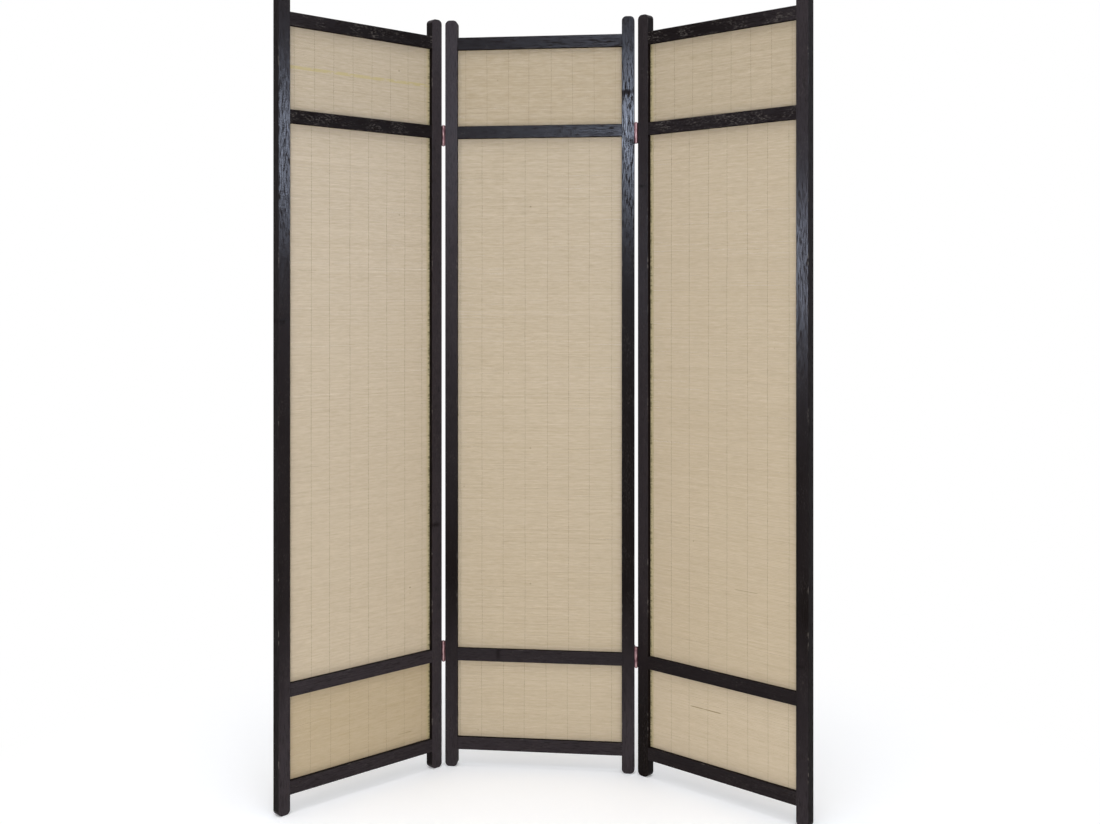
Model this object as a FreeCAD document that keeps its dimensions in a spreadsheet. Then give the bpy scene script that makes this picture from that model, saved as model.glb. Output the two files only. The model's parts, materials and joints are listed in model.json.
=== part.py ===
import FreeCAD, Part
import os
import re
import Sketcher

# Driving sizes of the screen in millimetres and degrees: name, value, meaning.
SIZES = (
    ("panel_height", 1800, "floor to the top of a stile"),
    ("panel_width", 455, "across the two stiles of one panel"),
    ("frame_thickness", 22, "front face to back face of stiles and rails"),
    ("stile_width", 30, "across one stile, seen from the front"),
    ("end_radius", 11, "corner radius of the rounded ends of a stile"),
    ("edge_ease", 1, "rounding along the edges of stiles and rails"),
    ("end_projection", 42, "stile above the top rail and below the bottom rail"),
    ("rail_height", 30, "height of one rail"),
    ("short_opening", 184, "height of the top and bottom openings of a panel"),
    ("mat_thickness", 2, "thickness of the slat mats"),
    ("mat_tongue", 4, "edge of a mat that is hidden in the grooves"),
    ("groove_depth", 5, "depth of the grooves that hold the mats"),
    ("groove_play", 0.2, "clearance on each face of a mat in its groove"),
    ("dowel_diameter", 6, "diameter of the dowels between rails and stiles"),
    ("dowel_length", 30, "length of a dowel, half of it in the rail"),
    ("dowel_spacing", 12, "between the two dowels of one rail end"),
    ("dowel_chamfer", 0.8, "chamfer at both ends of a dowel"),
    ("dowel_play", 0.05, "clearance around a dowel in its socket"),
    ("dowel_end_play", 1, "depth of a socket past the end of its dowel"),
    ("hinge_height", 48, "height of the leaves and the link of a hinge"),
    ("hinge_shift", 7, "hinge centre from its middle rail, towards the middle of the screen"),
    ("hinge_gap", 8, "between neighbouring stiles when the screen stands flat"),
    ("axis_reach", 1, "pin axes past the front and back faces of the frames"),
    ("leaf_thickness", 1.4, "thickness of a hinge leaf"),
    ("leaf_corner_radius", 2, "corner radius of a hinge leaf"),
    ("link_thickness", 1.2, "thickness of the plate between the two pins"),
    ("knuckle_diameter", 7.2, "outside diameter of the hinge knuckles"),
    ("knuckle_play", 0.3, "clearance between a knuckle and what turns past it"),
    ("pin_diameter", 3, "diameter of the hinge pins"),
    ("pin_play", 0.05, "clearance around a pin in its knuckles"),
    ("pin_head_diameter", 5, "diameter of the riveted heads of a pin"),
    ("pin_head_height", 1.2, "height of one riveted head"),
    ("pin_head_chamfer", 0.4, "chamfer around a riveted head"),
    ("screw_length", 12, "length of the hinge screws with their heads"),
    ("screw_diameter", 2.6, "diameter of a screw's shank"),
    ("screw_head_diameter", 5, "diameter of a countersunk head"),
    ("screw_head_depth", 1.2, "height of the cone under a countersunk head"),
    ("screw_tip_length", 2.5, "length of a screw's tapered tip"),
    ("screw_tip_diameter", 0.4, "blunt end of a screw's tip"),
    ("screw_spacing", 15, "between neighbouring screws of a leaf"),
    ("screw_play", 0.1, "clearance around a screw"),
    ("slot_width", 0.8, "width of the driver slot in a screw head"),
    ("slot_depth", 0.6, "depth of the driver slot in a screw head"),
    ("slot_turn_angle", 37, "angle between the slots of neighbouring screws"),
    ("left_fold_angle", 48.5, "left panel forward of flat, as the screen stands"),
    ("right_fold_angle", 36.5, "right panel forward of flat, as the screen stands"),
)
NAMES = {name for name, value, meaning in SIZES}

# Places on a sketch element.
START, END, CENTRE = range(1, 4)
FULL_TURN = 360
HALF_TURN = FULL_TURN / 2
UP = FreeCAD.Vector(0, 0, 1)
DEPTHWISE = FreeCAD.Vector(0, 1, 0)
ACROSS = FreeCAD.Vector(1, 0, 0)
# Screws of one leaf, counted from its middle.
SCREW_STEPS = (-1, 0, 1)
# Dowels of one rail end, as sides of the rail's middle.
DOWEL_SIDES = (-1, 1)
PANELS = ("left", "centre", "right")
# Which way along X each wing lies from the centre panel.
WINGS = {"left": -1, "right": 1}

# Heights of the rails' lower edges, from the floor.
RAIL_LOW = {
    "bottom": "end_projection",
    "lower_middle": "end_projection + rail_height + short_opening",
    "upper_middle": "panel_height - end_projection - 2 * rail_height - short_opening",
    "top": "panel_height - end_projection - rail_height",
}
# Rails below and above each opening.
OPENINGS = {
    "bottom": ("bottom", "lower_middle"),
    "middle": ("lower_middle", "upper_middle"),
    "top": ("upper_middle", "top"),
}
# Edges of each rail that carry a groove.
RAIL_GROOVES = {
    "bottom": ("upper",),
    "lower_middle": ("upper", "lower"),
    "upper_middle": ("upper", "lower"),
    "top": ("lower",),
}
# Heights of the hinges' centres: both move from a middle rail towards the middle of the screen.
HINGE_LEVEL = {
    "lower": f"{RAIL_LOW['lower_middle']} + rail_height / 2 + hinge_shift",
    "upper": f"{RAIL_LOW['upper_middle']} + rail_height / 2 - hinge_shift",
}
RAIL_LENGTH = "panel_width - 2 * stile_width"
SOCKET_DEPTH = "dowel_length / 2 + dowel_end_play"
SOCKET_DIAMETER = "dowel_diameter + 2 * dowel_play"
GROOVE_WIDTH = "mat_thickness + 2 * groove_play"
PILOT_DIAMETER = "screw_diameter + 2 * screw_play"
BORE_DIAMETER = "pin_diameter + 2 * pin_play"
# Plan of a hinge: the axes' place in the gap, and how far the plates stay from the axes' knuckles.
AXIS_X = "hinge_gap / 2"
AXIS_Y = "(frame_thickness / 2 + axis_reach)"
PLATE_EDGE = f"({AXIS_Y} - knuckle_diameter / 2 - knuckle_play)"

doc = FreeCAD.newDocument("folding_screen")
sheet = doc.addObject("Spreadsheet::Sheet", "sizes")
nodes = {}


def fill_sheet():
    """Write each driving size into its own cell."""
    for row, (name, value, meaning) in enumerate(SIZES, start=1):
        sheet.set(f"A{row}", name)
        sheet.set(f"B{row}", str(value))
        sheet.setAlias(f"B{row}", name)
        sheet.set(f"C{row}", meaning)
    doc.recompute()


def bound(text):
    """The expression with each size name pointing at its cell."""
    return re.sub(r"[a-z_]+", lambda word: f"sizes.{word[0]}" if word[0] in NAMES else word[0], text)


def number(text):
    """The value of an expression of size names, as the sheet holds them now."""
    return float(sheet.evalExpression(bound(text)))


def vector(x, y, z):
    """A point given by three expressions."""
    return FreeCAD.Vector(number(x), number(y), number(z))


def new_body(label):
    """An empty body with its label."""
    body = doc.addObject("PartDesign::Body", label)
    body.Label = label
    return body


def datum(body, role):
    """One of the body's own origin planes or axes."""
    return next(item for item in body.Origin.OriginFeatures if item.Role == role)


def new_sketch(body, name, plane, level="0", rise="0"):
    """A sketch on an origin plane, moved along the plane's normal and along the sketch's own Y."""
    sketch = body.newObject("Sketcher::SketchObject", name)
    sketch.AttachmentSupport = [(datum(body, plane), "")]
    sketch.MapMode = "FlatFace"
    sketch.setExpression("AttachmentOffset.Base.z", bound(level))
    sketch.setExpression("AttachmentOffset.Base.y", bound(rise))
    return sketch


def bind(sketch, constraint, name, text):
    """Add a dimension that follows an expression."""
    index = sketch.addConstraint(constraint)
    sketch.renameConstraint(index, name)
    sketch.setExpression(f"Constraints.{name}", bound(text))


def add_outline(sketch, points):
    """A closed outline of straight lines through points given as pairs of expressions."""
    spots = [FreeCAD.Vector(number(x), number(y), 0) for x, y in points]
    following = spots[1:] + spots[:1]
    lines = [sketch.addGeometry(Part.LineSegment(*ends), False) for ends in zip(spots, following)]
    for line, after in zip(lines, lines[1:] + lines[:1]):
        sketch.addConstraint(Sketcher.Constraint("Coincident", line, END, after, START))
    for line, spot, (x, y) in zip(lines, spots, points):
        bind(sketch, Sketcher.Constraint("DistanceX", line, START, spot.x), f"across_{line}", x)
        bind(sketch, Sketcher.Constraint("DistanceY", line, START, spot.y), f"along_{line}", y)


def add_rectangle(sketch, left, right, low, high):
    """A rectangle between four expressions."""
    add_outline(sketch, ((left, low), (right, low), (right, high), (left, high)))


def add_circle(sketch, x, y, diameter):
    """A circle at a point, with its diameter, all as expressions."""
    spot = FreeCAD.Vector(number(x), number(y), 0)
    ring = sketch.addGeometry(Part.Circle(spot, UP, number(diameter) / 2), False)
    bind(sketch, Sketcher.Constraint("DistanceX", ring, CENTRE, spot.x), f"across_{ring}", x)
    bind(sketch, Sketcher.Constraint("DistanceY", ring, CENTRE, spot.y), f"along_{ring}", y)
    bind(sketch, Sketcher.Constraint("Diameter", ring, number(diameter)), f"diameter_{ring}", diameter)


def add_feature(body, kind, name, sketch, length, **settings):
    """A pad or pocket of a sketch, as long as an expression says."""
    feature = body.newObject(f"PartDesign::{kind}", name)
    feature.Profile = sketch
    feature.setExpression("Length", bound(length))
    for key, value in settings.items():
        setattr(feature, key, value)
    return feature


def add_round(body, name, base, edges, radius):
    """A fillet on the edges of a feature."""
    fillet = body.newObject("PartDesign::Fillet", name)
    fillet.Base = (base, edges)
    fillet.setExpression("Radius", bound(radius))
    doc.recompute()
    return fillet


def edge_names(feature, wanted):
    """Names of the feature's edges that a test picks."""
    return [f"Edge{index}" for index, edge in enumerate(feature.Shape.Edges, start=1) if wanted(edge)]


def runs_along(edge, axis):
    """Whether a straight edge runs along an axis."""
    start, end = edge.Vertexes[0].Point, edge.Vertexes[-1].Point
    return (end - start).cross(axis).Length < Part.Precision.confusion() < (end - start).Length


def lies_on_faces(edge, depth):
    """Whether an edge lies in the plane at this depth, before or behind the middle plane."""
    box = edge.BoundBox
    slack = 2 * edge.Tolerance
    return box.YLength < slack and abs(abs(box.YMin) - depth) < slack


def make_stile(label, hinged):
    """One upright: its inner edge faces +X, its foot is at the origin's level."""
    body = new_body(label)
    outline = new_sketch(body, "outline", "XZ_Plane")
    add_rectangle(outline, "-stile_width / 2", "stile_width / 2", "0", "panel_height")
    blank = add_feature(body, "Pad", "blank", outline, "frame_thickness", SideType="Symmetric")
    doc.recompute()
    corners = edge_names(blank, lambda edge: runs_along(edge, DEPTHWISE))
    ends = add_round(body, "rounded_ends", blank, corners, "end_radius")
    depth = number("frame_thickness / 2")
    rims = edge_names(ends, lambda edge: lies_on_faces(edge, depth))
    add_round(body, "eased_edges", ends, rims, "edge_ease")

    grooves = new_sketch(body, "groove_lines", "YZ_Plane", "stile_width / 2")
    for below, above in OPENINGS.values():
        low = f"{RAIL_LOW[below]} + rail_height - groove_depth"
        high = f"{RAIL_LOW[above]} + groove_depth"
        add_rectangle(grooves, f"-({GROOVE_WIDTH}) / 2", f"({GROOVE_WIDTH}) / 2", low, high)
    add_feature(body, "Pocket", "grooves", grooves, "groove_depth")

    spots = new_sketch(body, "dowel_spots", "YZ_Plane", "stile_width / 2")
    for low in RAIL_LOW.values():
        for side in DOWEL_SIDES:
            height = f"{low} + rail_height / 2 + {side} * dowel_spacing / 2"
            add_circle(spots, "0", height, SOCKET_DIAMETER)
    add_feature(body, "Pocket", "dowel_sockets", spots, SOCKET_DEPTH)

    if hinged:
        pilots = new_sketch(body, "screw_spots", "YZ_Plane", "-stile_width / 2")
        for level in HINGE_LEVEL.values():
            for step in SCREW_STEPS:
                add_circle(pilots, "0", f"{level} + {step} * screw_spacing", PILOT_DIAMETER)
        depth = "screw_length - leaf_thickness + screw_play"
        add_feature(body, "Pocket", "pilot_holes", pilots, depth, Reversed=True)
    return body


def make_rail(label, grooved):
    """One cross bar along X, centred, with its lower edge at the origin's level."""
    body = new_body(label)
    section = new_sketch(body, "section", "YZ_Plane")
    add_rectangle(section, "-frame_thickness / 2", "frame_thickness / 2", "0", "rail_height")
    blank = add_feature(body, "Pad", "blank", section, RAIL_LENGTH, SideType="Symmetric")
    doc.recompute()
    lengthwise = edge_names(blank, lambda edge: runs_along(edge, ACROSS))
    add_round(body, "eased_edges", blank, lengthwise, "edge_ease")

    for edge in grooved:
        level = "rail_height" if edge == "upper" else "0"
        line = new_sketch(body, f"{edge}_groove_line", "XY_Plane", level)
        half_length, half_width = f"({RAIL_LENGTH}) / 2", f"({GROOVE_WIDTH}) / 2"
        add_rectangle(line, f"-{half_length}", half_length, f"-{half_width}", half_width)
        add_feature(body, "Pocket", f"{edge}_groove", line, "groove_depth", Reversed=edge == "lower")

    spots = new_sketch(body, "dowel_spots", "YZ_Plane", f"({RAIL_LENGTH}) / 2")
    for side in DOWEL_SIDES:
        add_circle(spots, "0", f"rail_height / 2 + {side} * dowel_spacing / 2", SOCKET_DIAMETER)
    sockets = add_feature(body, "Pocket", "dowel_sockets", spots, SOCKET_DEPTH)
    mirrored = body.newObject("PartDesign::Mirrored", "far_sockets")
    mirrored.Originals = [sockets]
    mirrored.MirrorPlane = (datum(body, "YZ_Plane"), [""])
    body.Tip = mirrored
    return body


def make_mat(label, height):
    """One slat mat as a thin closed sheet, centred across, with its lower edge at the origin's level."""
    body = new_body(label)
    outline = new_sketch(body, "outline", "XZ_Plane")
    half_width = f"({RAIL_LENGTH} + 2 * mat_tongue) / 2"
    add_rectangle(outline, f"-{half_width}", half_width, "0", height)
    add_feature(body, "Pad", "sheet", outline, "mat_thickness", SideType="Symmetric")
    return body


def make_dowel(label):
    """One dowel along X, centred, with chamfered ends."""
    body = new_body(label)
    section = new_sketch(body, "section", "YZ_Plane")
    add_circle(section, "0", "0", "dowel_diameter")
    peg = add_feature(body, "Pad", "peg", section, "dowel_length", SideType="Symmetric")
    doc.recompute()
    chamfer = body.newObject("PartDesign::Chamfer", "chamfered_ends")
    chamfer.Base = (peg, edge_names(peg, lambda edge: edge.isClosed()))
    chamfer.setExpression("Size", bound("dowel_chamfer"))
    return body


def add_knuckle(body, name, depth, low, high):
    """A knuckle round the pin axis at this depth, between two heights, not yet bored."""
    ring = new_sketch(body, f"{name}_ring", "XY_Plane", low)
    add_circle(ring, AXIS_X, depth, "knuckle_diameter")
    add_feature(body, "Pad", name, ring, f"{high} - ({low})")


def bore_knuckles(body, depths):
    """Pin bores along each pin axis of a hinge piece."""
    bores = new_sketch(body, "bore_spots", "XY_Plane")
    for depth in depths:
        add_circle(bores, AXIS_X, depth, BORE_DIAMETER)
    add_feature(body, "Pocket", "pin_bores", bores, "2 * hinge_height", SideType="Symmetric")


def make_leaf(label):
    """A hinge leaf on the stile's edge at x = 0, with its knuckle in front, in the upper half."""
    body = new_body(label)
    plan = new_sketch(body, "plate_plan", "XY_Plane")
    add_rectangle(plan, "0", "leaf_thickness", f"-{PLATE_EDGE}", PLATE_EDGE)
    plate = add_feature(body, "Pad", "plate", plan, "hinge_height", SideType="Symmetric")
    doc.recompute()
    far_edge = number(PLATE_EDGE)
    corners = edge_names(plate, lambda edge: runs_along(edge, ACROSS)
                         and edge.BoundBox.YMin > far_edge / 2)
    add_round(body, "plate_corners", plate, corners, "leaf_corner_radius")

    low, high = "knuckle_play / 2", "hinge_height / 2"
    neck = new_sketch(body, "neck_plan", "XY_Plane", low)
    add_rectangle(neck, "0", "leaf_thickness", f"-{AXIS_Y}", "0")
    add_feature(body, "Pad", "neck", neck, f"{high} - {low}")
    add_knuckle(body, "knuckle", f"-{AXIS_Y}", low, high)
    bore_knuckles(body, (f"-{AXIS_Y}",))

    hole = new_sketch(body, "screw_hole_section", "XZ_Plane", rise="-screw_spacing")
    shank, rim = f"({PILOT_DIAMETER}) / 2", "(screw_head_diameter / 2 + screw_play)"
    seat = "(leaf_thickness - screw_head_depth)"
    add_outline(hole, (("0", "0"), ("leaf_thickness", "0"), ("leaf_thickness", rim), (seat, shank),
                       ("0", shank)))
    first = body.newObject("PartDesign::Groove", "screw_hole")
    first.Profile = hole
    first.ReferenceAxis = (hole, ["H_Axis"])
    first.Angle = FULL_TURN
    row = body.newObject("PartDesign::LinearPattern", "screw_holes")
    row.Originals = [first]
    row.Direction = (datum(body, "Z_Axis"), [""])
    row.setExpression("Length", bound("2 * screw_spacing"))
    row.Occurrences = len(SCREW_STEPS)
    body.Tip = row
    return body


def make_link(label):
    """The plate in the middle of the gap, with a knuckle on each pin axis in its lower half."""
    body = new_body(label)
    left, right = f"{AXIS_X} - link_thickness / 2", f"{AXIS_X} + link_thickness / 2"
    plan = new_sketch(body, "plate_plan", "XY_Plane")
    add_rectangle(plan, left, right, f"-{PLATE_EDGE}", PLATE_EDGE)
    add_feature(body, "Pad", "plate", plan, "hinge_height", SideType="Symmetric")
    low, high = "-hinge_height / 2", "-knuckle_play / 2"
    neck = new_sketch(body, "neck_plan", "XY_Plane", low)
    add_rectangle(neck, left, right, f"-{AXIS_Y}", AXIS_Y)
    add_feature(body, "Pad", "necks", neck, f"{high} - ({low})")
    add_knuckle(body, "front_knuckle", f"-{AXIS_Y}", low, high)
    add_knuckle(body, "back_knuckle", AXIS_Y, low, high)
    bore_knuckles(body, (f"-{AXIS_Y}", AXIS_Y))
    return body


def turn_profile(body, points):
    """A solid turned about Z from half of its section."""
    section = new_sketch(body, "half_section", "XZ_Plane")
    add_outline(section, points)
    turned = body.newObject("PartDesign::Revolution", "turned")
    turned.Profile = section
    turned.ReferenceAxis = (datum(body, "Z_Axis"), [""])
    turned.Angle = FULL_TURN


def make_pin(label):
    """A hinge pin along Z, centred, with a riveted head at each end."""
    body = new_body(label)
    shank, head = "pin_diameter / 2", "pin_head_diameter / 2"
    seat = "(hinge_height / 2 + knuckle_play)"
    top = f"({seat} + pin_head_height)"
    rim, face = f"({head} - pin_head_chamfer)", f"({top} - pin_head_chamfer)"
    turn_profile(body, (("0", f"-{top}"), (rim, f"-{top}"), (head, f"-{face}"), (head, f"-{seat}"),
                        (shank, f"-{seat}"), (shank, seat), (head, seat), (head, face), (rim, top),
                        ("0", top)))
    return body


def make_screw(label):
    """A slotted countersunk screw along Z, with its head's face at the origin's level."""
    body = new_body(label)
    head, shank, tip = "screw_head_diameter / 2", "screw_diameter / 2", "screw_tip_diameter / 2"
    turn_profile(body, (("0", "0"), ("0", "-screw_length"), (tip, "-screw_length"),
                        (shank, "screw_tip_length - screw_length"), (shank, "-screw_head_depth"),
                        (head, "0")))
    slot = new_sketch(body, "slot_plan", "XY_Plane")
    add_rectangle(slot, f"-{head}", head, "-slot_width / 2", "slot_width / 2")
    add_feature(body, "Pocket", "slot", slot, "slot_depth")
    return body


def turned_about(point, degrees):
    """The placement that turns everything about the upright axis through a point."""
    return FreeCAD.Placement(FreeCAD.Vector(), FreeCAD.Rotation(UP, degrees), point)


def moved(x, y, z):
    """The placement that moves everything by three expressions."""
    return FreeCAD.Placement(vector(x, y, z), FreeCAD.Rotation())


def axis_point(side, depth):
    """A point of a hinge's pin axis with the screen flat, on the left (-1) or right (+1)."""
    return vector(f"{side} * (panel_width / 2 + {AXIS_X})", depth, "0")


def wing_fold(panel):
    """The turn that folds a wing, with its hinge links, forward of flat."""
    side = WINGS[panel]
    return turned_about(axis_point(side, f"-{AXIS_Y}"), -side * number(f"{panel}_fold_angle"))


def panel_place(panel):
    """Where a panel stands: the centre one at the origin, the wings folded forward."""
    if panel not in WINGS:
        return FreeCAD.Placement()
    return wing_fold(panel) * moved(f"{WINGS[panel]} * (panel_width + hinge_gap)", "0", "0")


def edge_place(side, level):
    """A hinge's place on the left or right edge of a panel, with its own X pointing out of the panel."""
    flip = FreeCAD.Rotation(DEPTHWISE, HALF_TURN) if side < 0 else FreeCAD.Rotation()
    return FreeCAD.Placement(vector(f"{side} * panel_width / 2", "0", level), flip)


def place_node(body, place):
    """Keep a sub-part as a node, at its place."""
    body.Placement = place
    nodes[body.Label] = body


def group_node(label, master, places):
    """A node of several like solids, each a link to one master."""
    copies = []
    for place in places:
        copy = doc.addObject("App::Link", f"{label}_copy")
        copy.LinkedObject = master
        copy.LinkTransform = True
        copy.Placement = place
        copies.append(copy)
    group = doc.addObject("Part::Compound", label)
    group.Label = label
    group.Links = copies
    nodes[label] = group


def build_panel(panel, origin, dowel):
    """The frame, mats and dowels of one panel."""
    place = origin * panel_place(panel)
    hinged = {"left": ("right",), "centre": ("left", "right"), "right": ("left",)}[panel]
    for name, side in WINGS.items():
        stile = make_stile(f"{panel}_panel_{name}_stile", name in hinged)
        facing = FreeCAD.Rotation(UP, HALF_TURN if side > 0 else 0)
        offset = vector(f"{side} * (panel_width - stile_width) / 2", "0", "0")
        place_node(stile, place * FreeCAD.Placement(offset, facing))

    dowel_places = []
    for name, low in RAIL_LOW.items():
        rail = make_rail(f"{panel}_panel_{name}_rail", RAIL_GROOVES[name])
        place_node(rail, place * moved("0", "0", low))
        for side in WINGS.values():
            for step in DOWEL_SIDES:
                height = f"{low} + rail_height / 2 + {step} * dowel_spacing / 2"
                dowel_places.append(place * moved(f"{side} * ({RAIL_LENGTH}) / 2", "0", height))
    group_node(f"{panel}_panel_dowels", dowel, dowel_places)

    for name, (below, above) in OPENINGS.items():
        low = f"{RAIL_LOW[below]} + rail_height - mat_tongue"
        height = f"{RAIL_LOW[above]} + mat_tongue - ({low})"
        place_node(make_mat(f"{panel}_panel_{name}_mat", height), place * moved("0", "0", low))


def screw_places(edge):
    """The three screws of a leaf on a panel's edge, their slots at various angles."""
    lying = FreeCAD.Rotation(DEPTHWISE, HALF_TURN / 2)
    places = []
    for step in SCREW_STEPS:
        spot = vector("leaf_thickness", "0", f"{step} * screw_spacing")
        slot = FreeCAD.Rotation(UP, step * number("slot_turn_angle"))
        places.append(edge * FreeCAD.Placement(spot, lying * slot))
    return places


def build_hinges(wing, origin, pin, screw):
    """Both hinges between the centre panel and a wing: leaves, links, pins and screws."""
    side = WINGS[wing]
    fold = origin * wing_fold(wing)
    wing_place = origin * panel_place(wing)
    pin_places = {"front": [], "back": []}
    screws = {"centre": [], wing: []}
    for name, level in HINGE_LEVEL.items():
        centre_edge = origin * edge_place(side, level)
        wing_edge = wing_place * edge_place(-side, level)
        # The wing's leaf is the same piece turned half round, so that its knuckle is at the back.
        wing_leaf = wing_edge * FreeCAD.Placement(FreeCAD.Vector(), FreeCAD.Rotation(ACROSS, HALF_TURN))
        place_node(make_leaf(f"{wing}_{name}_hinge_centre_leaf"), centre_edge)
        place_node(make_leaf(f"{wing}_{name}_hinge_wing_leaf"), wing_leaf)
        place_node(make_link(f"{wing}_{name}_hinge_link"), fold * edge_place(side, level))
        for depth, axis in (("front", f"-{AXIS_Y}"), ("back", AXIS_Y)):
            spot = axis_point(side, axis)
            spot.z = number(level)
            pin_places[depth].append(fold * FreeCAD.Placement(spot, FreeCAD.Rotation()))
        screws["centre"] += screw_places(centre_edge)
        screws[wing] += screw_places(wing_leaf)
    for depth, places in pin_places.items():
        group_node(f"{wing}_{depth}_hinge_pins", pin, places)
    for panel, places in screws.items():
        group_node(f"{wing}_hinges_{panel}_screws", screw, places)


def footprint_centre():
    """The middle of the floor area that the panels cover, from the rounded corners of their plans."""
    spots = []
    for panel in PANELS:
        place = panel_place(panel)
        for across in WINGS.values():
            for depth in WINGS.values():
                spots.append(place.multVec(vector(f"{across} * (panel_width / 2 - edge_ease)",
                                                  f"{depth} * (frame_thickness / 2 - edge_ease)", "0")))
    x_span = [spot.x for spot in spots]
    y_span = [spot.y for spot in spots]
    return FreeCAD.Vector((min(x_span) + max(x_span)) / 2, (min(y_span) + max(y_span)) / 2, 0)


def check_document():
    """Stop if any object failed, or any node has no valid solid."""
    failed = [item.Label for item in doc.Objects if {"Invalid", "Error"} & set(item.State)]
    if failed:
        raise RuntimeError(f"failed objects: {failed}")
    for label, node in nodes.items():
        if node.Shape.isNull() or not node.Shape.isValid() or not node.Shape.Solids:
            raise RuntimeError(f"no valid solid in {label}")


def print_places(origin):
    """Print the joints' axes and the feet, for the record."""
    for wing, side in WINGS.items():
        for depth, axis in (("front", f"-{AXIS_Y}"), ("back", AXIS_Y)):
            point = (origin * wing_fold(wing)).multVec(axis_point(side, axis))
            print(f"{wing} {depth} axis at", [round(value, 3) for value in point])
    for panel in PANELS:
        for name, side in WINGS.items():
            spot = vector(f"{side} * (panel_width - stile_width) / 2", "0", "0")
            point = (origin * panel_place(panel)).multVec(spot)
            print(f"{panel} panel {name} foot at", [round(value, 3) for value in point])


def main():
    """Build the screen, check it and write each node to its own file."""
    fill_sheet()
    origin = FreeCAD.Placement(-footprint_centre(), FreeCAD.Rotation())
    dowel = make_dowel("dowel")
    pin = make_pin("hinge_pin")
    screw = make_screw("hinge_screw")
    for panel in PANELS:
        build_panel(panel, origin, dowel)
    for wing in WINGS:
        build_hinges(wing, origin, pin, screw)
    doc.recompute()
    check_document()
    os.makedirs("parts", exist_ok=True)
    for label, node in nodes.items():
        node.Shape.exportStep(f"parts/{label}.step")
    print_places(origin)
    print(len(nodes), "nodes")


main()
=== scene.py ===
"""Looks of a three-panel folding screen: woven bamboo mats, stained frames and aged copper hinges."""
import json
import math

import bpy
from mathutils import Matrix, Vector


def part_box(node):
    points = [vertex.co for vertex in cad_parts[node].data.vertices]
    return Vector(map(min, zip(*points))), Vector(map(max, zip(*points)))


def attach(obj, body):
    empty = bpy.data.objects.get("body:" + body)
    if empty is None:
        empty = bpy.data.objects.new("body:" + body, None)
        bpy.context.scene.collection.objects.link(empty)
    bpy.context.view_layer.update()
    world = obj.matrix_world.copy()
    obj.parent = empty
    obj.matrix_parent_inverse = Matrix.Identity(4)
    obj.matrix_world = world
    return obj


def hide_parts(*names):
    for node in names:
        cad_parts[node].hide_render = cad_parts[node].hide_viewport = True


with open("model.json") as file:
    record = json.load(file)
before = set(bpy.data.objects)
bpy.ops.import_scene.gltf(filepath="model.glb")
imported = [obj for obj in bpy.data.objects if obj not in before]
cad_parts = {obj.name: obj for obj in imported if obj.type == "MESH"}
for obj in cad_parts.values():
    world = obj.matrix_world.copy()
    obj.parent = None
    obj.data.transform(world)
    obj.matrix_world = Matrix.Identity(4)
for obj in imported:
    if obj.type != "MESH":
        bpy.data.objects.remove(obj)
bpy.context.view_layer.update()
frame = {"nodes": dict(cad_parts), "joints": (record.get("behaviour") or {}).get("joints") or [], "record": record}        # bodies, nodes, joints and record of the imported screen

bl_info = {
    "name": "Folding screen",
    "version": (1, 0, 0),
    "blender": (4, 5, 0),
    "location": "View3D > Sidebar > Folding screen",
    "description": "Dresses a three-panel folding screen with bamboo mats, stained wood and aged hinges",
    "category": "Object",
}

MM = 0.001
PANELS = ("left", "centre", "right")
MATS = ("bottom", "middle", "top")
NODES = frame["nodes"]

# First binding thread from the left edge of each mat, and the same on all panels.
FIRST_THREADS = {"bottom": 10 * MM, "middle": 11 * MM, "top": 21 * MM}
# A slat is cut into this many lengths, so that it can bow.
SLAT_LENGTHS = 8
THREAD_SIDES = 4
# Points of a thread for each slat that it passes.
THREAD_STEPS = 2

# Least and most stray, in shares of the wander, lean, in radians, size, in shares, and tone of a slat.
SLAT_CHANCES = {
    "stray": ((-1.5, -0.3, -0.2), (1.5, 0.3, 0.2)),
    "lean": ((-0.04, -0.0005, -0.0004), (0.04, 0.0005, 0.0004)),
    "size": ((1, 0.9, 0.995), (1, 1.05, 1.03)),
    "tone": (0.0, 1.0),
}
# How far a slat bows along X, Y and Z, as shares of its wander.
BOW_SHARES = (0, 1.0, 0.9)
# Keeps the noise of one slat clear of the next one's.
SLATS_APART = 900.0
NOISE_MIDDLE = (0.5, 0.5, 0.5)
# How far a thread strays from its place, as a share of the spacing, and how often it bends along X, Y and Z.
THREAD_STRAY_SHARE = 0.04
THREAD_BENDS_PER_METRE = (20, 1, 9)

# Each mat has a slightly different shade, from pale to deep bamboo; its slats vary round this.
MAT_SHADES = {
    "left": {"bottom": 0.3, "middle": 0.0, "top": 0.21},
    "centre": {"bottom": 0.2, "middle": 0.24, "top": 0.4},
    "right": {"bottom": -0.02, "middle": 0.13, "top": 0.3},
}
# How far each mat has yellowed with age.
AGED_SHARES = {
    "left": {"bottom": 0.18, "middle": 0.0, "top": 0.0},
    "centre": {"bottom": 0.0, "middle": 0.0, "top": 0.05},
    "right": {"bottom": 0.08, "middle": 0.1, "top": 0.05},
}
# Slats near the floor are drawn paler, painted light that evens out the top lamp's fall-off, and yellower: from
# the first height down to the second, by these.
FLOORWARD_HEIGHTS = (1.5, 0.2)
FLOORWARD_LIFT_SHARE, FLOORWARD_YELLOW_SHARE = -0.1, 0.12
# A dark streak along a slat of some mats: start and end from the middle, height from the foot, darkness.
DARK_STREAKS = {
    "left_panel_bottom_mat": ((101 * MM, 145 * MM, 34 * MM), 0.6),
    "left_panel_middle_mat": ((-176 * MM, -121 * MM, 910 * MM), 0.35),
    "right_panel_bottom_mat": ((-85 * MM, 2 * MM, 125 * MM), 0.95),
    "right_panel_middle_mat": ((34 * MM, 99 * MM, 197 * MM), 0.5),
}
NO_STREAK = ((0.0, 0.0, 0.0), 0.0)
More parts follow.
